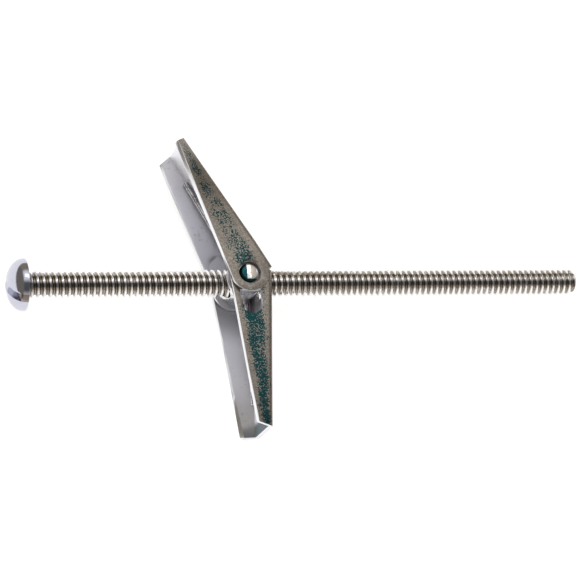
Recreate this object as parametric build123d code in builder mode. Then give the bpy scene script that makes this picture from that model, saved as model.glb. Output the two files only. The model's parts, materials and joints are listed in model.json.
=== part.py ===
"""Spring toggle bolt: a round-head machine screw, a trunnion nut on its thread, and two spring-opened wings.

Millimetres. The screw lies along X with the underside of its head at X = 0 and its point towards +X.
The trunnion axis is parallel to Z, and the bolt lies on its side with +Z up.
"""

import os
from math import asin, atan2, cos, degrees, hypot, radians, sin, tan

from build123d import *

os.makedirs("parts", exist_ok=True)

# Screw
screw_length = 99.5
major_diameter = 4.74
point_chamfer = 0.5
head_diameter = 8.8
head_height = 3.25
head_rim = 0.35
shoulder_radius = 1.6
slot_width = 1.4
slot_depth = 1.9
slot_turn = 140

# Place of the trunnion axis and attitude of the wings
pivot_x = 37.3
open_angle = 146.6
wing_lean = 11.8

# Trunnion nut
thread_clearance = 0.05
nut_side_wall = 0.755
nut_end_wall = 0.43
trunnion_diameter = 3.4
trunnion_inset = 0.15
trunnion_edge = 0.35

# Torsion spring
wire = 0.8
coil_clearance = 0.05
coil_gap = 0.02
coil_play = 0.18
leg_reach = 20.5
leg_clearance = 0.05
leg_depth = 3.4

# Pressed sheet wings
sheet = 0.75
ear_gap = 0.1
ear_clearance = 0.275
ear_wall = 1.375
ear_to_web = 0.15
web_clearance = 0.325
bend_radius = 0.95
wing_length = 26.1
tip_slant = 0.4
taper = 11.7
hub_length = 4.2
tip_web_width = 8.4
outer_flare = 0.4
inner_draw_in = 0.5
long_hole_clearance = 0.15
long_hole_reach = 5.1
long_hole_turn = 6
stop_gap = 0.04
screw_clearance = 0.4
mouth_corner = 0.6


def heading(angle):
    """Unit vector in the plane of the swing."""
    return Vector(cos(radians(angle)), sin(radians(angle)), 0)


# The head's dome is a crown arc on the axis and a shoulder arc tangent to it and to the rim
shoulder_centre = head_diameter / 2 - shoulder_radius
dome_height = head_height - head_rim
crown_radius = (dome_height**2 + shoulder_centre**2 - shoulder_radius**2) / (2 * (dome_height - shoulder_radius))
crown_turn = degrees(atan2(shoulder_centre, crown_radius - dome_height))

pivot = Vector(pivot_x, 0, 0)
splay = 180 - open_angle
upper_angle = 180 - open_angle / 2 + wing_lean
lower_angle = wing_lean - (180 - open_angle / 2)

# The nut is as large as its thread and walls need, and each ear as its hole and wall need
bore_radius = major_diameter / 2 + thread_clearance
barrel_radius = bore_radius + nut_side_wall
barrel_end = bore_radius + nut_end_wall
ear_hole_radius = trunnion_diameter / 2 + ear_clearance
ear_radius = ear_hole_radius + ear_wall

# The webs pass round both the nut and the other wing's ears
web_inside = max(barrel_radius + web_clearance, ear_radius + ear_to_web)
web_outside = web_inside + sheet

# Coil on the trunnion, next to the barrel, with its two legs tangent to it
coil_radius = trunnion_diameter / 2 + coil_clearance + wire / 2
leg_height = web_inside - wire / 2 - leg_clearance
leg_lean = degrees(atan2(leg_height, leg_reach) - asin(coil_radius / hypot(leg_height, leg_reach)))
coil_turn = 360 + splay - 2 * leg_lean
coil_pitch = wire + coil_gap
coil_top = -(barrel_end + coil_clearance + wire / 2)
coil_from = upper_angle - 90 - leg_lean

# The ears stand outside the coil, the inner ear of one wing within the outer ear of the other
inner_face = barrel_end + coil_clearance + wire + coil_pitch + coil_play + sheet
outer_face = inner_face + ear_gap + sheet
long_hole_width = trunnion_diameter + 2 * long_hole_clearance

# The webs' ends meet when the wings are open
web_end = web_inside * tan(radians(splay / 2)) - stop_gap

# The mouth in each web clears the screw when the pair of wings rocks to its other side
notch_half = major_diameter / 2 + screw_clearance
rocked = radians(splay / 2 - wing_lean)
mouth_reach = notch_half / cos(rocked) - web_inside * tan(rocked)


def leg_end(angle, side, depth):
    """Where a spring leg ends against the inside of a web."""
    along = heading(angle) * leg_reach
    across = heading(angle + side * 90) * leg_height
    return pivot + along + across + Vector(0, 0, depth)


def coil_point(turn, drop):
    """Point on the coil's centreline after a turn in degrees."""
    return pivot + heading(coil_from - turn) * coil_radius + Vector(0, 0, coil_top - drop)


def free_edge(station):
    """Height of a wing's free edge at a distance along its web."""
    return station * tan(radians(taper)) - ear_radius / cos(radians(taper))


def cut_plane(station, lean=0):
    """Plane across a wing, with its origin on the outside of the web."""
    return Plane(origin=(station, web_outside, 0), x_dir=heading(90 - lean), z_dir=heading(-lean))


def channel_section(plane, depth, outer_free, outer_web, inner_web, inner_free):
    """Section of the bent strip: outer plate, web, inner plate."""
    with BuildSketch(plane) as section:
        with BuildLine() as skin:
            Polyline((-depth, -outer_free), (0, -outer_web), (0, inner_web), (-depth, inner_free))
            fillet(skin.vertices().group_by(Axis.X)[-1], bend_radius)
            offset(amount=sheet, side=Side.LEFT)
        make_face()
    return section.sketch


# Screw: domed head and shank turned in one, with a driver slot
with BuildPart() as machine_screw:
    with BuildSketch(Plane.XY):
        with BuildLine():
            shoulder = CenterArc((-head_rim, shoulder_centre), shoulder_radius, 90, 90 - crown_turn)
            crown = CenterArc((crown_radius - head_height, 0), crown_radius, 180 - crown_turn, crown_turn)
            Polyline(
                shoulder @ 0,
                (0, head_diameter / 2),
                (0, major_diameter / 2),
                (screw_length - point_chamfer, major_diameter / 2),
                (screw_length, major_diameter / 2 - point_chamfer),
                (screw_length, 0),
                crown @ 1,
            )
        make_face()
    revolve(axis=Axis.X)
    with BuildSketch(Plane.YZ.offset(-head_height)):
        Rectangle(2 * head_diameter, slot_width, rotation=slot_turn)
    extrude(amount=slot_depth, mode=Mode.SUBTRACT)
machine_screw.part.label = "machine_screw"


# Trunnion nut: round barrel tapped crosswise, with a pin at each end
with BuildPart() as trunnion_nut:
    with BuildSketch(Plane.XY.move(Location(pivot))):
        Circle(barrel_radius)
    extrude(amount=barrel_end, both=True)
    with BuildSketch(Plane.XY.move(Location(pivot))):
        Circle(trunnion_diameter / 2)
    extrude(amount=outer_face - trunnion_inset, both=True)
    pin_ends = trunnion_nut.edges().filter_by(GeomType.CIRCLE).sort_by(Axis.Z)
    chamfer([pin_ends[0], pin_ends[-1]], trunnion_edge)
    with BuildSketch(Plane.YZ.offset(pivot_x)):
        Circle(bore_radius)
    extrude(amount=2 * barrel_radius, both=True, mode=Mode.SUBTRACT)
trunnion_nut.part.label = "trunnion_nut"


# Torsion spring: upper leg, a coil of two tilted half turns between short level arcs, lower leg
level_arc = (coil_turn - 360) / 2
coil_stops = [
    coil_point(0, 0),
    coil_point(level_arc, 0),
    coil_point(level_arc + 180, coil_pitch / 2),
    coil_point(level_arc + 360, coil_pitch),
    coil_point(coil_turn, coil_pitch),
]
upper_leg_end = leg_end(upper_angle, -1, coil_top)
lower_leg_end = leg_end(lower_angle, 1, -leg_depth)
with BuildPart() as torsion_spring:
    with BuildLine() as centreline:
        stretch = Line(upper_leg_end, coil_stops[0])
        for start, end in zip(coil_stops, coil_stops[1:]):
            stretch = TangentArc(start, end, tangent=stretch % 1)
        Line(coil_stops[-1], lower_leg_end)
    with BuildSketch(Plane(origin=upper_leg_end, z_dir=coil_stops[0] - upper_leg_end)):
        Circle(wire / 2)
    sweep(path=centreline.wire(), transition=Transition.TRANSFORMED)
torsion_spring.part.label = "torsion_spring"


# Wing: bent and tapered channel with an outer and an inner ear, in its own frame
ear_section = channel_section(
    cut_plane(-ear_radius), ear_radius + web_outside, outer_face, outer_face, inner_face, inner_face
)
hub_section = channel_section(
    cut_plane(hub_length), web_outside - free_edge(hub_length), outer_face, outer_face, inner_face, inner_face
)
tip_height = web_outside - free_edge(wing_length - tip_slant)
tip_section = channel_section(
    cut_plane(wing_length, degrees(atan2(tip_slant, tip_height))),
    hypot(tip_slant, tip_height),
    outer_face + outer_flare,
    tip_web_width / 2,
    tip_web_width / 2,
    inner_face - inner_draw_in,
)
with BuildPart() as wing:
    # Straight channel at the hub, cut to the round ears and the free edges tangent to them
    extrude(ear_section, amount=ear_radius + hub_length)
    with BuildSketch(Plane.XY):
        Circle(ear_radius)
        with BuildLine():
            Polyline(
                (-web_end, 0),
                (0, 0),
                ear_radius * heading(taper - 90),
                (hub_length, free_edge(hub_length)),
                (hub_length, web_outside),
                (-web_end, web_outside),
                close=True,
            )
        make_face()
    extrude(amount=2 * outer_face, both=True, mode=Mode.INTERSECT)
    # Arm that narrows to its slanted tip as its outer plate leans out
    loft([hub_section, tip_section], ruled=True)
    # Round hole in the outer ear
    with BuildSketch(Plane.XY):
        Circle(ear_hole_radius)
    extrude(amount=-2 * outer_face, mode=Mode.SUBTRACT)
    # Long hole in the inner ear
    with BuildSketch(Plane.XY):
        with Locations(heading(long_hole_turn) * (long_hole_reach / 2)):
            SlotCenterToCenter(long_hole_reach, long_hole_width, rotation=long_hole_turn)
    extrude(amount=2 * outer_face, mode=Mode.SUBTRACT)
    # Mouth in the web that straddles the screw while the wings are open
    with BuildSketch(Plane.XZ.offset(-web_inside + bend_radius / 2)) as mouth:
        Rectangle(2 * mouth_reach, 2 * notch_half)
        fillet(mouth.vertices(), mouth_corner)
    extrude(amount=-sheet - bend_radius, mode=Mode.SUBTRACT)

upper_place = Plane(origin=pivot, x_dir=heading(upper_angle), z_dir=(0, 0, -1))
lower_place = Plane(origin=pivot, x_dir=heading(lower_angle), z_dir=(0, 0, 1))

with BuildPart() as upper_wing:
    with Locations(upper_place):
        add(wing.part)
upper_wing.part.label = "upper_wing"

with BuildPart() as lower_wing:
    with Locations(lower_place):
        add(wing.part)
lower_wing.part.label = "lower_wing"


for piece in (machine_screw, trunnion_nut, torsion_spring, upper_wing, lower_wing):
    export_step(piece.part, f"parts/{piece.part.label}.step")
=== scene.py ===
"""Looks of a spring toggle bolt: rolled thread, slotted head, zinc-plated wings, wire spring and its stage.

Everything is in metres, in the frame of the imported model: the screw lies along X with the underside
of its head at X = 0, and the trunnion axis of the wings is parallel to Z.
"""

import json
import math

import bmesh
import bpy
from bpy.props import FloatProperty, FloatVectorProperty, IntProperty, PointerProperty
from mathutils import Color, Euler, Matrix, Vector


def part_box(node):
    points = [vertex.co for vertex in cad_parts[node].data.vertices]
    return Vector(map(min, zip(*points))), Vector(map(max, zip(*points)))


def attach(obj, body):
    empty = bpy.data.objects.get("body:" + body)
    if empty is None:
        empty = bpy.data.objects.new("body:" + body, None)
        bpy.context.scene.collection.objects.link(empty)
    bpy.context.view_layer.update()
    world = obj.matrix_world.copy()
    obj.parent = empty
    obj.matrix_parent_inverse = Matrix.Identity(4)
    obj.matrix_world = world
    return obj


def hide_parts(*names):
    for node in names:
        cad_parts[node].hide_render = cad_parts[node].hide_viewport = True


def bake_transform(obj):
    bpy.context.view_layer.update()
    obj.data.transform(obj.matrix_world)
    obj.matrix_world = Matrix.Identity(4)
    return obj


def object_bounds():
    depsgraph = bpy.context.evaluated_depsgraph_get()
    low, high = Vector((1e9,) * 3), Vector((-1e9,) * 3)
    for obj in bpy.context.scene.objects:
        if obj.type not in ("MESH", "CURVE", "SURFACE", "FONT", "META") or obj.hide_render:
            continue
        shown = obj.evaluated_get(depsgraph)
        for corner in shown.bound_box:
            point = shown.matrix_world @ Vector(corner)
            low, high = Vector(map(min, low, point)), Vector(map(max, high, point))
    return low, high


bl_info = {
    "name": "Spring Toggle Bolt",
    "version": (1, 0, 0),
    "blender": (4, 5, 0),
    "location": "View3D > Sidebar > Toggle Bolt",
    "description": "Builds the looks of a spring toggle bolt around its packed model",
    "category": "Object",
}

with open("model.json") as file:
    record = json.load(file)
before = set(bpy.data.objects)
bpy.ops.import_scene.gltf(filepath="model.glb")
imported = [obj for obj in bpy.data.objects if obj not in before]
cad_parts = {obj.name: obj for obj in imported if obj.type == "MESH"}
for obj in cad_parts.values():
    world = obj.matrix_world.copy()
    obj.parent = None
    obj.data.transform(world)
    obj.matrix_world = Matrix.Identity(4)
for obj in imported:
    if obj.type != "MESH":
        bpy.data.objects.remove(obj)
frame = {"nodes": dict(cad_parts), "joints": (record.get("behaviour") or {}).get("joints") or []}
cad_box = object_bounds()

MM = 0.001
INCH = 0.0254
THREADS_PER_INCH = 24

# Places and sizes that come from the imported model
JOINTS = {joint["name"]: joint for joint in frame["joints"]}
PIVOT = Vector(JOINTS["upper_wing_fold"]["pos_m"])
SCREW_LOW, SCREW_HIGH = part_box("machine_screw")
HEAD_RADIUS = SCREW_HIGH.y
SCREW_LENGTH = SCREW_HIGH.x

# Directions of the open wings in degrees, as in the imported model
UPPER_ANGLE = 118.5
LOWER_ANGLE = -94.9

# Each wing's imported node, body, finish, direction, and the way its direction turns towards its web
WINGS = (
    ("upper_wing", "upper_leaf", "Upper Wing Zinc", UPPER_ANGLE, -1),
    ("lower_wing", "lower_leaf", "Lower Wing Zinc", LOWER_ANGLE, 1),
)

# Angles in degrees over which an edge looks sharp, and over which it gets a rounding
SMOOTH_UNDER = 30
SCREW_SMOOTH_UNDER = 42
ROUNDED_OVER = 35
HEAD_ROUNDED_OVER = 40


def heading(degrees):
    """Unit vector in the plane in which the wings swing."""
    return Vector((math.cos(math.radians(degrees)), math.sin(math.radians(degrees)), 0))


def length_property(name, description, default):
    """A setting that is a length in metres."""
    return FloatProperty(
        name=name, description=description, default=default, subtype="DISTANCE", unit="LENGTH", precision=5
    )


def angle_property(name, description, default):
    """A setting that is an angle, given in degrees."""
    return FloatProperty(
        name=name, description=description, default=math.radians(default), subtype="ANGLE", unit="ROTATION"
    )


def count_property(name, description, default, least):
    """A setting that is a whole number."""
    return IntProperty(name=name, description=description, default=default, min=least)


def colour_property(name, description, default):
    """A setting that is a linear colour."""
    return FloatVectorProperty(
        name=name, description=description, default=default, subtype="COLOR", size=3, min=0, max=1
    )


class ScrewSizes(bpy.types.PropertyGroup):
    """Sizes of the threaded screw."""

    major: length_property("Major diameter", "Diameter over the crests of the thread", 4.74 * MM)
    pitch: length_property("Pitch", "Distance from one crest to the next", INCH / THREADS_PER_INCH)
    depth: length_property("Thread depth", "Height of the crests over the roots", 0.62 * MM)
    start: angle_property("Start angle", "Turn of the thread about the screw's axis", 0)
    run_out: length_property("Run-out", "Length under the head in which the thread rises", 0.9 * MM)
    chamfer: length_property("Point chamfer", "Chamfer at the screw's point", 0.6 * MM)
    segments: count_property("Segments", "Segments in a turn of the thread", 48, 12)
    head_rim: length_property("Head rim", "Height of the straight rim under the dome", 0.35 * MM)
    slot_width: length_property("Slot width", "Width of the driver slot", 1.4 * MM)
    slot_depth: length_property("Slot depth", "Depth of the slot from the top of the dome", 1.9 * MM)
    slot_turn: angle_property("Slot turn", "Direction of the slot across the head, from the Y axis", 140)
    edge_break: length_property("Edge break", "Rounding of the head's edges", 0.07 * MM)


class NutSizes(bpy.types.PropertyGroup):
    """Rounding of the trunnion nut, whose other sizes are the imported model's."""

    edge_break: length_property("Edge break", "Rounding of the nut's edges", 0.1 * MM)


class SpringSizes(bpy.types.PropertyGroup):
    """Sizes of the torsion spring."""

    wire: length_property("Wire", "Diameter of the spring wire", 0.8 * MM)
    coil_radius: length_property("Coil radius", "Radius of the coil's centreline", 2.15 * MM)
    coil_pitch: length_property("Coil pitch", "Drop of the coil in one turn", 0.82 * MM)
    coil_top: length_property("Coil top", "Height of the coil's first turn", -3.3 * MM)
    coil_turn: angle_property("Coil turn", "Turn of the wire between its two legs", 388.38)
    level_turn: angle_property("Level turn", "Turn of the coil next to each leg that is level", 14.19)
    leg_lean: angle_property("Leg lean", "Angle between a leg and its wing", 2.51)
    leg_reach: length_property("Leg reach", "Distance along the wing that a leg reaches", 20.5 * MM)
    leg_height: length_property("Leg height", "Distance of a leg's end from the pivot line", 3.05 * MM)
    leg_depth: length_property("Leg depth", "Height of the lower leg's end", -3.4 * MM)
    segments: count_property("Segments", "Sides of the wire's section", 20, 8)
    leg_steps: count_property("Leg steps", "Divisions of a leg along its length", 24, 4)


class WingSizes(bpy.types.PropertyGroup):
    """Outline of the wings, the rounding of their edges, and the changes to their inner plates."""

    taper: angle_property("Taper", "Angle between the free edge and the web", 11.7)
    ear_radius: length_property("Ear radius", "Radius of the round ears", 3.35 * MM)
    web_outside: length_property("Web height", "Distance of the web's outside from the pivot", 4.25 * MM)
    length: length_property("Length", "Length of a wing from the pivot", 26.1 * MM)
    straight: length_property("Straight length", "Length over which the plates are parallel", 4.2 * MM)
    edge_break: length_property("Edge break", "Rounding of the sheet's sheared edges", 0.07 * MM)
    deeper: length_property("Deeper", "Extra depth of the inner plate at the wing's tip", 0.4 * MM)
    inner_middle: length_property("Inner plate", "Height of the inner plate's middle", 5.06 * MM)
    hole_turn: angle_property("Hole turn", "Turn of the long hole from the web", 6)
    filling_from: length_property("Filling start", "Where the filled part of the hole starts", 2.9 * MM)
    filling_to: length_property("Filling end", "Where the filled part of the hole ends", 7.1 * MM)
    filling_width: length_property("Filling width", "Width of the hole's filling", 3.9 * MM)
    filling_depth: length_property("Filling depth", "Thickness of the hole's filling", 0.73 * MM)


class FinishColours(bpy.types.PropertyGroup):
    """Colours of the zinc plating and the spring wire."""

    bright: colour_property("Bright zinc", "Clean plating on the thread and the nut", (0.90, 0.89, 0.88))
    # The brown is partly a real coat and partly painted shade, in the thread's roots and on the slot's
    # floor.
    brown: colour_property("Brown film", "Stain in the thread and on the slot's floor", (0.21, 0.17, 0.13))
    lilac: colour_property("Head zinc", "Clean plating on the head", (0.56, 0.57, 0.65))
    inside: colour_property("Inner zinc", "Clean plating inside the wings", (0.93, 0.93, 0.98))
    smudge: colour_property("Smudge", "Dull places in the clean plating", (0.30, 0.30, 0.34))
    taupe: colour_property("Handled zinc", "Dulled plating outside the wings", (0.23, 0.20, 0.17))
    # The sandy colour also serves as a painted warm reflection on the nut's pin ends.
    sand: colour_property("Sandy zinc", "Lighter grain in the dulled plating", (0.40, 0.36, 0.31))
    # The blue-green also serves as a painted dark reflection on the nut's pin ends and as painted shade
    # inside the lower wing's web tip.
    teal: colour_property("Passivation", "Dark blue-green mottling in the plating", (0.012, 0.06, 0.065))
    # The sheared edge colour is partly bare metal and partly a painted highlight, which also runs onto a
    # thin band of the plate by the edge.
    edge: colour_property("Sheared edge", "Bright sheared edges of the sheet", (0.88, 0.88, 0.90))
    wire: colour_property("Spring wire", "Drawn spring wire", (0.74, 0.74, 0.76))


class StageSizes(bpy.types.PropertyGroup):
    """Camera, lamp and surroundings."""

    camera_place: FloatVectorProperty(
        name="Camera place",
        description="Where the camera stands",
        default=(-77.8 * MM, -117.49 * MM, 358.25 * MM),
        subtype="TRANSLATION",
        unit="LENGTH",
        size=3,
    )
    camera_turn: FloatVectorProperty(
        name="Camera turn",
        description="Rotation of the camera about X, Y and Z",
        default=tuple(math.radians(a) for a in (19.012, -17.139, -6.135)),
        subtype="EULER",
        size=3,
    )
    lens: FloatProperty(
        name="Lens", description="Focal length on a 36 mm sensor", default=144.13, unit="CAMERA"
    )
    surroundings: FloatProperty(
        name="Surroundings", description="Strength of the surroundings", default=1.0
    )
    lamp: FloatProperty(
        name="Lamp",
        description="Power of the soft lamp overhead",
        default=0.15,
        subtype="POWER",
        unit="POWER",
    )
    lamp_length: length_property("Lamp length", "Length of the soft lamp", 0.34)
    lamp_width: length_property("Lamp width", "Width of the soft lamp", 0.12)


# Mesh helpers


def sizes():
    """The settings of this file."""
    return bpy.context.scene.toggle_bolt


def as_mesh(name, bm):
    """Turns a finished bmesh into a mesh, and frees it."""
    mesh = bpy.data.meshes.new(name)
    bm.to_mesh(mesh)
    bm.free()
    return mesh


def mesh_object(name, bm, material, smooth_under=SMOOTH_UNDER):
    """Turns a finished bmesh into an object with its finish, smooth but for its sharp edges."""
    mesh = as_mesh(name, bm)
    piece = bpy.data.objects.new(name, mesh)
    bpy.context.scene.collection.objects.link(piece)
    mesh.materials.append(bpy.data.materials[material])
    mesh.shade_smooth()
    mesh.set_sharp_from_angle(angle=math.radians(smooth_under))
    return piece


def add_riding(name, bm, body, material, smooth_under=SMOOTH_UNDER):
    """A piece that rides on a body."""
    piece = mesh_object(name, bm, material, smooth_under)
    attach(piece, body)
    return piece


def add_profile(bm, points):
    """A chain of edges through points, as spin wants it."""
    verts = [bm.verts.new(point) for point in points]
    return verts + [bm.edges.new(pair) for pair in zip(verts, verts[1:])]


def everything(bm):
    """All vertices, edges and faces of a bmesh."""
    return bm.verts[:] + bm.edges[:] + bm.faces[:]


def only(kind, items):
    """The vertices, edges or faces among mixed geometry."""
    return [item for item in items if isinstance(item, kind)]


def break_edges(bm, width, over=ROUNDED_OVER):
    """Rounds by a small width the edges whose faces meet at more than an angle."""
    limit = math.radians(over)
    bmesh.ops.bevel(
        bm,
        geom=[edge for edge in bm.edges if edge.is_manifold and edge.calc_face_angle(0) > limit],
        offset=width,
        offset_type="OFFSET",
        affect="EDGES",
        segments=2,
        profile=0.5,
        material=-1,
        clamp_overlap=True,
    )
    bmesh.ops.recalc_face_normals(bm, faces=bm.faces)
    return bm


def close_up(bm):
    """Fills the open ends of a shape and points its faces outwards."""
    bmesh.ops.holes_fill(bm, edges=[edge for edge in bm.edges if edge.is_boundary], sides=0)
    bmesh.ops.recalc_face_normals(bm, faces=bm.faces)
    return bm


def block(place, size):
    """A block with its size along X, Y and Z, put in its place by a matrix."""
    bm = bmesh.new()
    bmesh.ops.create_cube(bm, size=1)
    bmesh.ops.transform(bm, matrix=place @ Matrix.Diagonal((*size, 1)), verts=bm.verts)
    return bm


def joined(bm, other):
    """Adds one bmesh to another and frees it."""
    mesh = as_mesh("working", other)
    bm.from_mesh(mesh)
    bpy.data.meshes.remove(mesh)
    return bm


def combined(bm, other, operation):
    """Cuts one closed bmesh out of another, or unites the two, and returns the result."""
    holders = []
    for source in (bm, other):
        holder = bpy.data.objects.new("working", as_mesh("working", source))
        bpy.context.scene.collection.objects.link(holder)
        holders.append(holder)
    boolean = holders[0].modifiers.new("working", "BOOLEAN")
    boolean.operation = operation
    boolean.solver = "EXACT"
    boolean.object = holders[1]
    result = bmesh.new()
    result.from_mesh(holders[0].evaluated_get(bpy.context.evaluated_depsgraph_get()).to_mesh())
    for holder in holders:
        mesh = holder.data
        bpy.data.objects.remove(holder)
        bpy.data.meshes.remove(mesh)
    return result


def merged_copy(node):
    """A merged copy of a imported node, its flat facets joined."""
    same_place, flat_under = 0.0005 * MM, 0.3
    bm = bmesh.new()
    bm.from_mesh(frame["nodes"][node].data)
    bmesh.ops.remove_doubles(bm, verts=bm.verts, dist=same_place)
    bmesh.ops.dissolve_limit(
        bm,
        angle_limit=math.radians(flat_under),
        use_dissolve_boundaries=False,
        verts=bm.verts,
        edges=bm.edges,
    )
    return bm


# Shader helpers


class Nodes:
    """Adds nodes to a tree and links them."""

    def __init__(self, tree):
        self.tree = tree

    def put(self, socket, source):
        """Links a socket to another, or sets its value."""
        if isinstance(source, bpy.types.NodeSocket):
            self.tree.links.new(source, socket)
        elif isinstance(source, Color):
            socket.default_value = (*source, 1)
        else:
            socket.default_value = source

    def add(self, kind, links=None, **values):
        node = self.tree.nodes.new(kind)
        for key, value in values.items():
            setattr(node, key, value)
        for socket, source in (links or {}).items():
            self.put(node.inputs[socket], source)
        return node

    def math(self, operation, a, b=0.0):
        return self.add("ShaderNodeMath", {0: a, 1: b}, operation=operation).outputs[0]

    def plus(self, a, b):
        return self.math("ADD", a, b)

    def minus(self, a, b):
        return self.math("SUBTRACT", a, b)

    def times(self, a, b):
        return self.math("MULTIPLY", a, b)

    def inverse(self, mask):
        """1 where a mask is 0, and 0 where it is 1."""
        return self.minus(1.0, mask)

    def dot(self, a, b):
        return self.add("ShaderNodeVectorMath", {0: a, 1: b}, operation="DOT_PRODUCT").outputs["Value"]

    def separate(self, vector):
        return self.add("ShaderNodeSeparateXYZ", {0: vector}).outputs

    def mix(self, share, a, b):
        node = self.add("ShaderNodeMix", data_type="RGBA")
        for index, source in ((0, share), (6, a), (7, b)):
            self.put(node.inputs[index], source)
        return node.outputs[2]

    def mix_value(self, share, a, b):
        return self.add("ShaderNodeMix", {0: share, 2: a, 3: b}, data_type="FLOAT").outputs[0]

    def steps(self, value, low, high):
        """0 under low, 1 over high, smooth between."""
        links = {"Value": value, "From Min": low, "From Max": high}
        return self.add("ShaderNodeMapRange", links, interpolation_type="SMOOTHSTEP").outputs[0]

    def noise(self, vector, scale, detail, roughness):
        links = {"Vector": vector, "Scale": scale, "Detail": detail, "Roughness": roughness}
        return self.add("ShaderNodeTexNoise", links).outputs[0]

    def group(self, tree, **links):
        """Places a node group; underscores in the names stand for spaces."""
        node = self.add("ShaderNodeGroup", node_tree=tree)
        for label, source in links.items():
            self.put(node.inputs[label.replace("_", " ")], source)
        return node.outputs


def new_group(name, inputs, outputs):
    """An empty shader node group with named sockets."""
    group = bpy.data.node_groups.new(name, "ShaderNodeTree")
    for label, kind, default in inputs:
        socket = group.interface.new_socket(label, in_out="INPUT", socket_type=kind)
        if default is not None:
            socket.default_value = default
    for label in outputs:
        group.interface.new_socket(label, in_out="OUTPUT", socket_type="NodeSocketFloat")
    given = group.nodes.new("NodeGroupInput").outputs
    out = group.nodes.new("NodeGroupOutput").inputs
    return group, Nodes(group), given, out


def mottle_group():
    """Zinc mottling: a mask of fine dark speckles that gather in patches, and its grain."""
    patch_share, speckle_share = 0.3, 0.7
    bare_level, cover_drop = 0.68, 0.36
    group, n, given, out = new_group(
        "Zinc Mottle",
        [
            ("Vector", "NodeSocketVector", None),
            ("Patch Scale", "NodeSocketFloat", 260.0),
            ("Speckle Scale", "NodeSocketFloat", 2600.0),
            ("Cover", "NodeSocketFloat", 0.5),
            ("Softness", "NodeSocketFloat", 0.06),
        ],
        ["Mask", "Grain"],
    )
    patch = n.noise(given["Vector"], given["Patch Scale"], detail=2, roughness=0.5)
    speckle = n.noise(given["Vector"], given["Speckle Scale"], detail=2, roughness=0.6)
    both = n.plus(n.times(patch, patch_share), n.times(speckle, speckle_share))
    level = n.minus(bare_level, n.times(given["Cover"], cover_drop))
    n.put(out["Mask"], n.steps(n.minus(both, level), 0.0, given["Softness"]))
    n.put(out["Grain"], speckle)
    return group


def scratch_group():
    """Fine scratches and handling marks in two directions, as a height around a half."""
    turns, stretch = (0.4, 1.9), (1, 14, 1)
    group, n, given, out = new_group(
        "Zinc Scratches",
        [("Vector", "NodeSocketVector", None), ("Scale", "NodeSocketFloat", 300.0)],
        ["Height"],
    )
    lines = []
    for turn in turns:
        turned = {"Vector": given["Vector"], "Scale": stretch, "Rotation": (0, 0, turn)}
        place = n.add("ShaderNodeMapping", turned).outputs[0]
        lines.append(n.noise(place, given["Scale"], detail=4, roughness=0.7))
    n.put(out["Height"], n.times(n.plus(*lines), 1 / len(lines)))
    return group


def outline_group():
    """Where a point lies on a wing: depth inside the free edge, share of the way to the web, reach."""
    wing = sizes().wings
    group, n, given, out = new_group(
        "Wing Outline",
        [
            ("Vector", "NodeSocketVector", None),
            ("Along Edge", "NodeSocketVector", None),
            ("Across Edge", "NodeSocketVector", None),
        ],
        ["Depth", "Share", "Reach"],
    )
    place = n.add("ShaderNodeVectorMath", {0: given["Vector"], 1: PIVOT}, operation="SUBTRACT").outputs[0]
    along = n.dot(place, given["Along Edge"])
    across = n.dot(place, given["Across Edge"])
    behind = n.math("POWER", n.math("MINIMUM", along, 0.0), 2.0)
    below = n.math("POWER", n.math("MINIMUM", across, 0.0), 2.0)
    n.put(out["Depth"], n.minus(wing.ear_radius, n.math("SQRT", n.plus(behind, below))))
    web = wing.web_outside / math.cos(wing.taper)
    width = n.minus(wing.ear_radius + web, n.times(along, math.tan(wing.taper)))
    n.put(out["Share"], n.math("DIVIDE", n.plus(across, wing.ear_radius), width))
    n.put(out["Reach"], along)
    return group


def new_material(name):
    """A metal with a Principled BSDF, its node helper and its coordinates."""
    material = bpy.data.materials.new(name)
    material.use_nodes = True
    shader = material.node_tree.nodes["Principled BSDF"]
    shader.inputs["Metallic"].default_value = 1.0
    n = Nodes(material.node_tree)
    return n, shader, n.add("ShaderNodeTexCoord").outputs


def scratch(n, shader, groups, place, scale, strength, depth, grain=None):
    """Feeds scratches, and a grain where there is one, into the shader's normal."""
    height = n.group(groups["scratches"], Vector=place, Scale=scale)["Height"]
    if grain is not None:
        height = n.plus(height, grain)
    bump = n.add("ShaderNodeBump", {"Height": height, "Strength": strength, "Distance": depth})
    n.put(shader.inputs["Normal"], bump.outputs[0])


# Finishes


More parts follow.
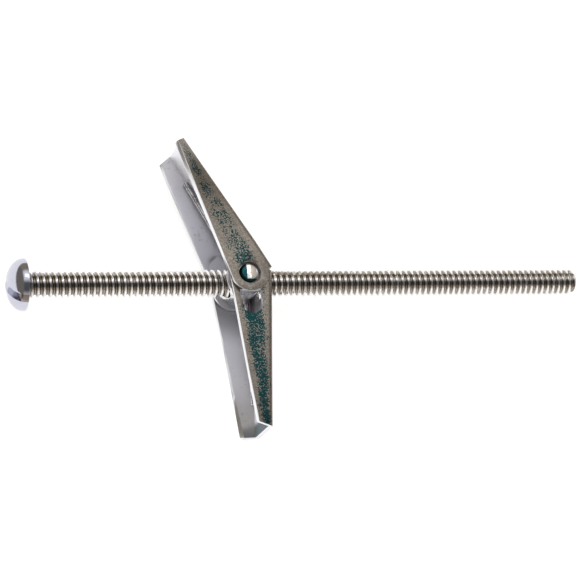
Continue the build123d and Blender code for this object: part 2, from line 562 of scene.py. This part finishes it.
def screw_zinc(colours, groups):
    """Bright zinc on the screw, with a brown coat down in the thread that is partly painted shade in its
    roots, and painted shade on the slot's floor.
    """
    shank_start = (0.0, 0.3 * MM)
    film_and_shade_depth, film_dirt, film_and_shade_strength = (0.1, 0.75), (0.15, 0.5), 0.9
    mottle_strength = 0.3
    slot_edge, floor_rise, slot_shade_strength = 0.05 * MM, 0.4 * MM, 0.8
    smooth, rough = 0.06, 0.2

    bolt = sizes().screw
    n, shader, coordinates = new_material("Screw Zinc")
    place = coordinates["Object"]
    x, y, z = n.separate(place)
    radius = n.math("SQRT", n.plus(n.math("POWER", y, 2.0), n.math("POWER", z, 2.0)))
    buried = n.inverse(n.steps(radius, bolt.major / 2 - bolt.depth, bolt.major / 2))
    shank = n.steps(x, *shank_start)
    dirt = n.noise(place, 420.0, detail=4, roughness=0.65)
    # Partly painted shade: the brown darkens the thread's roots, where shade falls, and a dirt noise breaks
    # it up.
    film_and_shade = n.times(n.steps(n.times(buried, shank), *film_and_shade_depth), n.steps(dirt, *film_dirt))
    mottle = n.group(groups["mottle"], Vector=place, Patch_Scale=330.0, Cover=0.3)
    plated = n.mix(shank, colours.lilac, colours.bright)
    clean = n.mix(n.times(mottle["Mask"], mottle_strength), plated, colours.smudge)
    filmed_and_shaded = n.mix(n.times(film_and_shade, film_and_shade_strength), clean, colours.brown)

    slot_side = Vector((0, -math.sin(bolt.slot_turn), math.cos(bolt.slot_turn)))
    off_slot = n.math("ABSOLUTE", n.dot(place, slot_side))
    slot = n.inverse(n.steps(off_slot, bolt.slot_width / 2, bolt.slot_width / 2 + slot_edge))
    # Painted shade: the slot's floor and the lower part of its walls are darkened with the brown.
    floor_at = SCREW_LOW.x + bolt.slot_depth
    floor = n.times(n.times(slot, n.steps(x, floor_at - floor_rise, floor_at)), n.inverse(shank))
    n.put(shader.inputs["Base Color"], n.mix(n.times(floor, slot_shade_strength), filmed_and_shaded, colours.brown))
    n.put(shader.inputs["Roughness"], n.mix_value(dirt, smooth, rough))
    scratch(n, shader, groups, place, 500.0, 0.2, 0.03 * MM)


def inside_edge(n, outline, height, side):
    """Distance inside a wing's free edge, which lies further out on its deepened inner plate."""
    wing = sizes().wings
    share = n.math("DIVIDE", n.minus(outline["Reach"], wing.straight), wing.length - wing.straight)
    grown = n.times(n.math("MAXIMUM", share, 0.0), wing.deeper)
    inner = n.steps(n.times(height, side), 0.0, MM)
    return n.plus(outline["Depth"], n.times(grown, inner))


# Each wing's cover of mottling, the stretch by its hub over which its inner faces get darker, how much
# darker they get, and the share of painted shade inside the web's tip
WING_LOOKS = {
    "upper_wing": {"cover": 0.42, "hub_darkening_reach": (-4 * MM, 4 * MM), "hub_darkening": 0.1, "painted_tip_shade_share": 0.0},
    "lower_wing": {"cover": 0.56, "hub_darkening_reach": (3 * MM, 12 * MM), "hub_darkening": 0.4, "painted_tip_shade_share": 0.8},
}


def wing_zinc(name, along, side, colours, groups, cover, hub_darkening_reach, hub_darkening, painted_tip_shade_share):
    """Plated sheet: dull and mottled outside, clean inside but darker towards the hub, with painted shade
    inside the web's tip, and bright along its sheared edges, partly bare metal and partly a painted
    highlight.

    along is the direction of the wing, and side turns from it towards the web.
    """
    outside_from, outside_to = 0.2, 0.6
    stripe_middle, stripe_fade, stripe_start = 0.9, (0.25, 0.85), (-1.5 * MM, 1.0 * MM)
    cover_off_stripe, cover_on_stripe = cover - 0.3, cover + 0.14
    sandy_grain = (0.42, 0.7)
    faint_strength = 0.4
    web_from, web_to = 0.5, 0.8
    tip_start = (23.2 * MM, 24.6 * MM)
    sheared_and_highlight_fade = (0.04 * MM, 0.16 * MM)
    rough_inside, rough_outside, rough_sheared = 0.55, 0.42, 0.3
    grain_strength = 0.5

    taper = math.degrees(sizes().wings.taper)
    n, shader, coordinates = new_material(name)
    place, normal = coordinates["Object"], coordinates["Normal"]
    outline = n.group(
        groups["outline"],
        Vector=place,
        Along_Edge=heading(along + side * taper),
        Across_Edge=heading(along + side * (taper + 90)),
    )
    height = n.separate(place)[2]
    plate = n.times(n.separate(normal)[2], n.math("SIGN", height))
    outward = n.math("MAXIMUM", plate, n.dot(normal, heading(along + side * 90)))
    outside = n.steps(outward, outside_from, outside_to)

    off_middle = n.math("ABSOLUTE", n.minus(n.times(outline["Share"], 2.0), stripe_middle))
    stripe = n.inverse(n.steps(off_middle, *stripe_fade))
    stripe = n.times(stripe, n.steps(outline["Reach"], *stripe_start))
    mottle = n.group(
        groups["mottle"],
        Vector=place,
        Patch_Scale=420.0,
        Speckle_Scale=4000.0,
        Cover=n.mix_value(stripe, cover_off_stripe, cover_on_stripe),
        Softness=0.03,
    )
    sandy = n.steps(n.noise(place, 3900.0, detail=3, roughness=0.7), *sandy_grain)
    handled = n.mix(sandy, colours.taupe, colours.sand)
    spotted = n.mix(mottle["Mask"], handled, colours.teal)

    faint = n.group(
        groups["mottle"], Vector=place, Patch_Scale=300.0, Speckle_Scale=1500.0, Cover=0.36, Softness=0.2
    )
    # The inner faces also get darker towards the hub, by a share that each wing gives.
    darker_to_hub = n.times(n.inverse(n.steps(outline["Reach"], *hub_darkening_reach)), hub_darkening)
    dulled = n.math("MAXIMUM", n.times(faint["Mask"], faint_strength), darker_to_hub)
    clean = n.mix(dulled, colours.inside, colours.smudge)
    # Painted shade: the inner face of the web turns blue-green towards the tip, inside the channel where
    # shade falls.
    web_skin = n.steps(n.dot(normal, heading(along - side * 90)), web_from, web_to)
    painted_tip_shade = n.times(web_skin, n.steps(outline["Reach"], *tip_start))
    clean = n.mix(n.times(painted_tip_shade, painted_tip_shade_share), clean, colours.teal)

    skins = n.mix(outside, clean, spotted)
    # Partly a painted highlight: the bright edge colour covers the sheared edge and a thin band of the
    # plate beside it.
    sheared = n.inverse(n.steps(inside_edge(n, outline, height, side), *sheared_and_highlight_fade))
    n.put(shader.inputs["Base Color"], n.mix(sheared, skins, colours.edge))
    rough_skins = n.mix_value(outside, rough_inside, rough_outside)
    n.put(shader.inputs["Roughness"], n.mix_value(sheared, rough_skins, rough_sheared))
    scratch(n, shader, groups, place, 420.0, 0.3, 0.04 * MM, grain=n.times(mottle["Grain"], grain_strength))


def mottled_zinc(name, clean, cover, strength, colours, groups):
    """Lightly mottled metal, as its node helper, shader, place and base colour."""
    smooth, rough = 0.2, 0.35
    n, shader, coordinates = new_material(name)
    place = coordinates["Object"]
    mottle = n.group(groups["mottle"], Vector=place, Patch_Scale=600.0, Speckle_Scale=2200.0, Cover=cover)
    base = n.mix(n.times(mottle["Mask"], strength), clean, colours.smudge)
    n.put(shader.inputs["Roughness"], n.mix_value(mottle["Mask"], smooth, rough))
    scratch(n, shader, groups, place, 600.0, 0.25, 0.03 * MM)
    return n, shader, place, base


def nut_zinc(colours, groups):
    """Bright zinc on the nut, with a painted dark blue-green reflection and a painted warm sandy reflection
    across the ends of its pins.
    """
    pin_ends = (5.2 * MM, 5.6 * MM)
    left_edge, low_edge = (-0.55 * MM, -0.4 * MM), (-1.2 * MM, -1.0 * MM)
    right_edge, rim_edge = (0.1 * MM, 0.3 * MM), (1.15 * MM, 1.3 * MM)
    wobble_size = 0.5 * MM

    n, shader, place, base = mottled_zinc("Nut Zinc", colours.bright, 0.36, 0.5, colours, groups)
    x, y, z = n.separate(place)
    # Painted reflection: the pin ends are dark on the left and along the bottom, sandy right of the middle,
    # and stay bright between these and at the right rim.
    ends = n.steps(n.math("ABSOLUTE", z), *pin_ends)
    wobble = n.times(n.minus(n.noise(place, 900.0, detail=3, roughness=0.6), 0.5), wobble_size)
    across = n.plus(n.minus(x, PIVOT.x), wobble)
    left = n.inverse(n.steps(across, *left_edge))
    low = n.inverse(n.steps(n.plus(y, wobble), *low_edge))
    dark = n.times(n.math("MAXIMUM", left, low), ends)
    right = n.times(n.steps(across, *right_edge), ends)
    rim = n.steps(across, *rim_edge)
    base = n.mix(n.times(right, n.inverse(rim)), base, colours.sand)
    n.put(shader.inputs["Base Color"], n.mix(dark, base, colours.teal))


def wire_zinc(colours, groups):
    """Drawn spring wire, lightly mottled."""
    n, shader, _, base = mottled_zinc("Spring Wire", colours.wire, 0.45, 0.8, colours, groups)
    n.put(shader.inputs["Base Color"], base)


class TOGGLEBOLT_OT_finishes(bpy.types.Operator):
    """Build the zinc finishes of the pieces"""

    bl_idname = "toggle_bolt.finishes"
    bl_label = "Build Finishes"

    def execute(self, context):
        colours = sizes().colours
        groups = {"mottle": mottle_group(), "scratches": scratch_group(), "outline": outline_group()}
        screw_zinc(colours, groups)
        for node, _, material, along, side in WINGS:
            wing_zinc(material, along, side, colours, groups, **WING_LOOKS[node])
        nut_zinc(colours, groups)
        wire_zinc(colours, groups)
        return {"FINISHED"}


# Screw


def thread_profile(bolt):
    """One pitch of the thread's side, from root to root, as (x, radius)."""
    root = bolt.major / 2 - bolt.depth
    shares_of_pitch_and_depth = (
        (0.0, 0.0),
        (0.07, 0.0),
        (0.16, 0.12),
        (0.40, 0.90),
        (0.455, 1.0),
        (0.545, 1.0),
        (0.60, 0.90),
        (0.84, 0.12),
        (0.93, 0.0),
        (1.0, 0.0),
    )
    return [(x * bolt.pitch, root + bolt.depth * rise) for x, rise in shares_of_pitch_and_depth]


def endless_thread(bolt):
    """A thread longer than the screw: one turn is spun and laid end to end."""
    spare_turns, same_place = 2, 0.004 * bolt.pitch
    bm = bmesh.new()
    direction = Vector((0, math.cos(bolt.start), math.sin(bolt.start)))
    first = Vector((-spare_turns * bolt.pitch, 0, 0))
    points = [first + Vector((x, 0, 0)) + direction * r for x, r in thread_profile(bolt)]
    bmesh.ops.spin(
        bm,
        geom=add_profile(bm, points),
        cent=(0, 0, 0),
        axis=(1, 0, 0),
        dvec=(bolt.pitch / bolt.segments, 0, 0),
        angle=math.tau,
        steps=bolt.segments,
        use_duplicate=False,
    )
    turns = 1
    while turns * bolt.pitch < SCREW_LENGTH + 2 * spare_turns * bolt.pitch:
        copies = bmesh.ops.duplicate(bm, geom=everything(bm))["geom"]
        bmesh.ops.translate(bm, verts=only(bmesh.types.BMVert, copies), vec=(turns * bolt.pitch, 0, 0))
        turns *= 2
    bmesh.ops.remove_doubles(bm, verts=bm.verts, dist=same_place)
    return bm


def threaded_shank(bolt):
    """The rolled thread, cut to length, with its run-out under the head and its chamfered point."""
    start_in_head = 0.3 * MM
    bm = endless_thread(bolt)
    for plane, normal in ((-start_in_head, -1), (SCREW_LENGTH, 1)):
        bmesh.ops.bisect_plane(
            bm, geom=everything(bm), plane_co=(plane, 0, 0), plane_no=(normal, 0, 0), clear_outer=True
        )
    middle = bolt.major / 2 - bolt.depth / 2
    for vert in bm.verts:
        radius = math.hypot(vert.co.y, vert.co.z)
        if vert.co.x < bolt.run_out:
            wanted = middle + (radius - middle) * max(vert.co.x, 0) / bolt.run_out
        else:
            wanted = min(radius, bolt.major / 2 - bolt.chamfer + SCREW_LENGTH - vert.co.x)
        vert.co.yz = vert.co.yz * (wanted / radius)
    return close_up(bm)


def domed_head(bolt):
    """The round head before its slot: an elliptical dome on a short rim, spun about the axis."""
    rings, segments, same_place = 14, 72, 0.001 * MM
    bm = bmesh.new()
    height = -SCREW_LOW.x - bolt.head_rim
    quarter = [math.radians(90 * i / rings) for i in range(rings + 1)]
    dome = [Vector((-bolt.head_rim - height * math.sin(a), HEAD_RADIUS * math.cos(a), 0)) for a in quarter]
    dome[-1].y = 0
    under = bolt.edge_break
    base = [Vector((0, 0, 0)), Vector((0, HEAD_RADIUS - under, 0)), Vector((-under, HEAD_RADIUS, 0))]
    bmesh.ops.spin(
        bm,
        geom=add_profile(bm, base + dome),
        cent=(0, 0, 0),
        axis=(1, 0, 0),
        angle=math.tau,
        steps=segments,
        use_merge=True,
    )
    bmesh.ops.remove_doubles(bm, verts=bm.verts, dist=same_place)
    bmesh.ops.recalc_face_normals(bm, faces=bm.faces)
    return bm


def slot_cutter(bolt):
    """The block that the driver slot is cut with."""
    place = Matrix.Translation((SCREW_LOW.x, 0, 0)) @ Matrix.Rotation(bolt.slot_turn, 4, "X")
    return block(place, (2 * bolt.slot_depth, 4 * HEAD_RADIUS, bolt.slot_width))


class TOGGLEBOLT_OT_screw(bpy.types.Operator):
    """Build the threaded screw with its slotted round head"""

    bl_idname = "toggle_bolt.screw"
    bl_label = "Build Screw"

    def execute(self, context):
        bolt = sizes().screw
        head = combined(domed_head(bolt), slot_cutter(bolt), "DIFFERENCE")
        bm = joined(break_edges(head, bolt.edge_break, HEAD_ROUNDED_OVER), threaded_shank(bolt))
        piece = add_riding("threaded_screw", bm, "screw", "Screw Zinc", SCREW_SMOOTH_UNDER)
        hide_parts("machine_screw")
        return {"FINISHED"}


# Nut


class TOGGLEBOLT_OT_nut(bpy.types.Operator):
    """Build the trunnion nut with rounded pin ends"""

    bl_idname = "toggle_bolt.nut"
    bl_label = "Build Nut"

    def execute(self, context):
        bm = break_edges(merged_copy("trunnion_nut"), sizes().nut.edge_break)
        piece = add_riding("tapped_trunnion", bm, "nut", "Nut Zinc")
        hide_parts("trunnion_nut")
        return {"FINISHED"}


# Wings


def free_edge(wing, station):
    """Height of a wing's free edge at a distance along it."""
    return station * math.tan(wing.taper) - wing.ear_radius / math.cos(wing.taper)


def deepen_inner_plate(bm, along, side, wing):
    """Lets the free edge of a wing's inner plate come further out towards the tip.

    The points near the edge move down the plate: away from the web, a little back from the slanted
    tip, and out with the plate's growing lean.
    """
    back, out_at_tip = 0.17, 0.32
    near, near_more_at_tip = 0.05 * MM, 0.3 * MM
    reach, height = heading(along), heading(along + side * 90)
    for vert in bm.verts:
        place = vert.co - PIVOT
        station = place.dot(reach)
        share = (station - wing.straight) / (wing.length - wing.straight)
        off_edge = abs(place.dot(height) - free_edge(wing, station))
        if share > 0 and vert.co.z * side > 0 and off_edge < near + near_more_at_tip * share:
            down_plate = Vector((0, 0, side * out_at_tip * share)) - height - back * reach
            vert.co += down_plate * wing.deeper * share


def hole_filling(along, side, wing):
    """Sheet that fills the far half of the long hole in a wing's inner plate."""
    plate_lean = 0.7
    direction = along + side * math.degrees(wing.hole_turn)
    middle = (wing.filling_from + wing.filling_to) / 2
    centre = PIVOT + heading(direction) * middle
    centre.z = side * wing.inner_middle
    place = Matrix.Translation(centre)
    turn = Matrix.Rotation(math.radians(direction), 4, "Z")
    lean = Matrix.Rotation(math.radians(side * plate_lean), 4, "Y")
    size = (wing.filling_to - wing.filling_from, wing.filling_width, wing.filling_depth)
    return block(place @ turn @ lean, size)


class TOGGLEBOLT_OT_wings(bpy.types.Operator):
    """Build the two pressed wings with broken edges"""

    bl_idname = "toggle_bolt.wings"
    bl_label = "Build Wings"

    def execute(self, context):
        wing = sizes().wings
        for node, body, material, along, side in WINGS:
            bm = merged_copy(node)
            deepen_inner_plate(bm, along, side, wing)
            break_edges(bm, wing.edge_break)
            if node == "upper_wing":
                bm = combined(bm, hole_filling(along, side, wing), "UNION")
            piece = add_riding(f"{node}_sheet", bm, body, material)
            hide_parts(node)
        return {"FINISHED"}


# Spring

# Length of a cut wire end's rounding as a share of the wire, and how much of its width is left there
END_ROUNDING = 0.08
END_NARROWING = 0.8


def ring_across(bm, place, direction, spring):
    """The wire's round section across a direction, as vertices and edges."""
    turn = direction.to_track_quat("Z", "X").to_matrix().to_4x4()
    matrix = Matrix.Translation(place) @ turn
    bmesh.ops.create_circle(bm, segments=spring.segments, radius=spring.wire / 2, matrix=matrix)
    return bm.verts[:] + bm.edges[:]


def wind_on(bm, ring, angle, drop):
    """Winds a section on about the trunnion axis and returns the last section."""
    degrees_a_step, fewest_steps = 7, 2
    steps = max(fewest_steps, round(abs(math.degrees(angle)) / degrees_a_step))
    return bmesh.ops.spin(
        bm,
        geom=ring,
        cent=PIVOT,
        axis=(0, 0, 1),
        dvec=(0, 0, drop / steps),
        angle=angle,
        steps=steps,
        use_duplicate=False,
    )["geom_last"]


def draw_out(bm, ring, stretch, steps):
    """Draws a section out along a straight stretch and returns the last section."""
    for _ in range(steps):
        grown = bmesh.ops.extrude_edge_only(bm, edges=only(bmesh.types.BMEdge, ring))["geom"]
        ring = only(bmesh.types.BMVert, grown) + only(bmesh.types.BMEdge, grown)
        bmesh.ops.translate(bm, verts=only(bmesh.types.BMVert, ring), vec=stretch / steps)
    return ring


def round_off(bm, ring, direction, wire):
    """Draws the wire out to a slightly rounded cut end."""
    ring = draw_out(bm, ring, direction * wire * END_ROUNDING, 1)
    verts = only(bmesh.types.BMVert, ring)
    centre = sum((vert.co for vert in verts), Vector()) / len(verts)
    bmesh.ops.scale(bm, vec=[END_NARROWING] * 3, space=Matrix.Translation(-centre), verts=verts)


def drop_of(spring, turn):
    """How far the coil drops in a turn between its level arcs."""
    return spring.coil_pitch * turn / math.tau


def spring_leg(spring, along, side, level, end_level):
    """One leg of the spring with the quarter turn of the coil that it springs from.

    along is the direction of the wing, and side turns from it towards the web.
    """
    bm = bmesh.new()
    touch = PIVOT + heading(along + side * (90 + math.degrees(spring.leg_lean))) * spring.coil_radius
    touch.z = level
    end = PIVOT + heading(along) * spring.leg_reach + heading(along + side * 90) * spring.leg_height
    end.z = end_level
    outward = (end - touch).normalized()
    ring = ring_across(bm, touch, outward, spring)
    sloping = math.pi / 2 - spring.level_turn
    level_end = wind_on(bm, ring, side * spring.level_turn, 0)
    wind_on(bm, level_end, side * sloping, side * drop_of(spring, sloping))
    far = draw_out(bm, ring, end - touch - outward * spring.wire * END_ROUNDING, spring.leg_steps)
    round_off(bm, far, outward, spring.wire)
    return close_up(bm)


def spring_coil(spring):
    """The middle of the coil, between the quarter turns at the legs."""
    bm = bmesh.new()
    sloping = math.pi / 2 - spring.level_turn
    angle = UPPER_ANGLE - 90 - math.degrees(spring.leg_lean) - 90
    place = PIVOT + heading(angle) * spring.coil_radius
    place.z = spring.coil_top - drop_of(spring, sloping)
    turn = spring.coil_turn - math.pi
    ring = ring_across(bm, place, heading(angle - 90), spring)
    wind_on(bm, ring, -turn, 2 * drop_of(spring, sloping) - spring.coil_pitch)
    return close_up(bm)


class TOGGLEBOLT_OT_spring(bpy.types.Operator):
    """Build the torsion spring: its coil stays with the nut, and its legs stand where the open wings hold
    them
    """

    bl_idname = "toggle_bolt.spring"
    bl_label = "Build Spring"

    def execute(self, context):
        spring = sizes().spring
        coil = add_riding("spring_coil", spring_coil(spring), "nut", "Spring Wire")
        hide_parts("torsion_spring")
        bottom = spring.coil_top - spring.coil_pitch
        for name, body, along, side, level, end_level in (
            ("upper_spring_leg", "upper_leaf", UPPER_ANGLE, -1, spring.coil_top, spring.coil_top),
            ("lower_spring_leg", "lower_leaf", LOWER_ANGLE, 1, bottom, spring.leg_depth),
        ):
            leg = mesh_object(name, spring_leg(spring, along, side, level, end_level), "Spring Wire")
            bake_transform(leg)
            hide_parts("torsion_spring")
        return {"FINISHED"}


# Stage

# Surroundings by the turn about the screw: 0 is level towards +Y, 0.5 overhead and 1 level towards -Y
SKY_BANDS = (
    (0.00, (0.30, 0.26, 0.20)),
    (0.20, (0.27, 0.235, 0.185)),
    (0.28, (0.95, 0.95, 0.95)),
    (0.46, (0.95, 0.95, 0.96)),
    (0.55, (0.11, 0.115, 0.12)),
    (0.74, (0.10, 0.10, 0.10)),
    (0.84, (0.60, 0.55, 0.48)),
    (1.00, (0.80, 0.78, 0.75)),
)

# Dim ends of the surroundings: where they fade in by the X of a direction, and their colour
LEFT_END = (-0.55, -0.35)
RIGHT_END = (0.7, 0.85)
DIM_END = (0.2, 0.18, 0.155, 1)

WHITE = (1, 1, 1, 1)
FLOOR_COLOUR = (0.8, 0.8, 0.8, 1)
FLOOR_ROUGHNESS = 0.9
FLOOR_GLOW = 0.8
FLOOR_REACH = 1.5
FLOOR_GAP = 0.01 * MM
LAMP_OFFSET = Vector((0.02, 0.17, 0.43))
SENSOR_WIDTH = 36
NEAREST, FARTHEST = 0.01, 10


def studio_world(strength):
    """Soft surroundings in long bands over the screw, so that bright metal has something to reflect."""
    world = bpy.data.worlds.new("Studio")
    bpy.context.scene.world = world
    world.use_nodes = True
    n = Nodes(world.node_tree)
    x, y, z = n.separate(n.add("ShaderNodeTexCoord").outputs["Generated"])
    turn = n.math("DIVIDE", n.math("ARCTAN2", z, y), math.pi)
    ramp = n.add("ShaderNodeValToRGB", {0: turn})
    elements = ramp.color_ramp.elements
    while len(elements) < len(SKY_BANDS):
        elements.new(0.5)
    for element, (place, colour) in zip(elements, SKY_BANDS):
        element.position = place
        element.color = (*colour, 1)
    left = n.inverse(n.steps(x, *LEFT_END))
    right = n.steps(x, *RIGHT_END)
    seen = n.mix(n.math("MAXIMUM", left, right), ramp.outputs[0], DIM_END)
    rays = n.add("ShaderNodeLightPath").outputs
    background = world.node_tree.nodes["Background"]
    n.put(background.inputs["Color"], n.mix(rays["Is Camera Ray"], seen, WHITE))
    background.inputs["Strength"].default_value = strength


def pale_floor():
    """Pale floor that is white to the camera and in the metal, and keeps a soft shadow."""
    n, shader, _ = new_material("Pale Floor")
    shader.inputs["Metallic"].default_value = 0.0
    shader.inputs["Base Color"].default_value = FLOOR_COLOUR
    shader.inputs["Roughness"].default_value = FLOOR_ROUGHNESS
    shader.inputs["Emission Color"].default_value = WHITE
    rays = n.add("ShaderNodeLightPath").outputs
    seen = n.math("MAXIMUM", rays["Is Camera Ray"], rays["Is Glossy Ray"])
    seen = n.math("MAXIMUM", seen, rays["Is Transmission Ray"])
    n.put(shader.inputs["Emission Strength"], n.times(seen, FLOOR_GLOW))


class TOGGLEBOLT_OT_stage(bpy.types.Operator):
    """Set the floor, the lamp, the surroundings and the camera"""

    bl_idname = "toggle_bolt.stage"
    bl_label = "Set Stage"

    def execute(self, context):
        stage = sizes().stage
        pale_floor()
        bm = bmesh.new()
        bmesh.ops.create_grid(bm, x_segments=1, y_segments=1, size=FLOOR_REACH)
        bmesh.ops.translate(bm, verts=bm.verts, vec=(PIVOT.x, 0, cad_box[0].z - FLOOR_GAP))
        mesh_object("floor", bm, "Pale Floor")

        studio_world(stage.surroundings)
        lamp = bpy.data.objects.new("overhead", bpy.data.lights.new("overhead", "AREA"))
        context.scene.collection.objects.link(lamp)
        lamp.data.shape = "RECTANGLE"
        lamp.data.size, lamp.data.size_y = stage.lamp_length, stage.lamp_width
        lamp.data.energy = stage.lamp
        lamp.location = PIVOT + LAMP_OFFSET
        lamp.rotation_euler = (lamp.location - PIVOT).to_track_quat("Z", "Y").to_euler()

        camera = bpy.data.objects.new("camera", bpy.data.cameras.new("camera"))
        context.scene.collection.objects.link(camera)
        camera.location = stage.camera_place
        camera.rotation_euler = Euler(stage.camera_turn)
        camera.data.lens = stage.lens
        camera.data.sensor_width = SENSOR_WIDTH
        camera.data.clip_start, camera.data.clip_end = NEAREST, FARTHEST
        context.scene.camera = camera
        context.scene.view_settings.view_transform = "Standard"
        return {"FINISHED"}


# Add-on


class ToggleBoltSettings(bpy.types.PropertyGroup):
    """All settings of the toggle bolt."""

    screw: PointerProperty(type=ScrewSizes, name="Screw", description="Sizes of the screw")
    nut: PointerProperty(type=NutSizes, name="Nut", description="Rounding of the nut")
    spring: PointerProperty(type=SpringSizes, name="Spring", description="Sizes of the spring")
    wings: PointerProperty(type=WingSizes, name="Wings", description="Outline and plates of the wings")
    colours: PointerProperty(type=FinishColours, name="Colours", description="Colours of the plating")
    stage: PointerProperty(type=StageSizes, name="Stage", description="Camera, lamp and surroundings")


OPERATORS = (
    TOGGLEBOLT_OT_finishes,
    TOGGLEBOLT_OT_screw,
    TOGGLEBOLT_OT_nut,
    TOGGLEBOLT_OT_spring,
    TOGGLEBOLT_OT_wings,
    TOGGLEBOLT_OT_stage,
)


class TOGGLEBOLT_PT_sidebar(bpy.types.Panel):
    """Lists the steps that build the toggle bolt"""

    bl_idname = "TOGGLEBOLT_PT_sidebar"
    bl_label = "Toggle Bolt"
    bl_space_type = "VIEW_3D"
    bl_region_type = "UI"
    bl_category = "Toggle Bolt"

    def draw(self, context):
        for operator in OPERATORS:
            self.layout.operator(operator.bl_idname)


CLASSES = (
    ScrewSizes,
    NutSizes,
    SpringSizes,
    WingSizes,
    FinishColours,
    StageSizes,
    ToggleBoltSettings,
    *OPERATORS,
    TOGGLEBOLT_PT_sidebar,
)


def register():
    for cls in CLASSES:
        bpy.utils.register_class(cls)
    bpy.types.Scene.toggle_bolt = PointerProperty(type=ToggleBoltSettings)


def unregister():
    del bpy.types.Scene.toggle_bolt
    for cls in reversed(CLASSES):
        bpy.utils.unregister_class(cls)


def main():
    register()
    for operator in OPERATORS:
        module, name = operator.bl_idname.split(".")
        getattr(getattr(bpy.ops, module), name)()


if __name__ == "__main__":
    main()
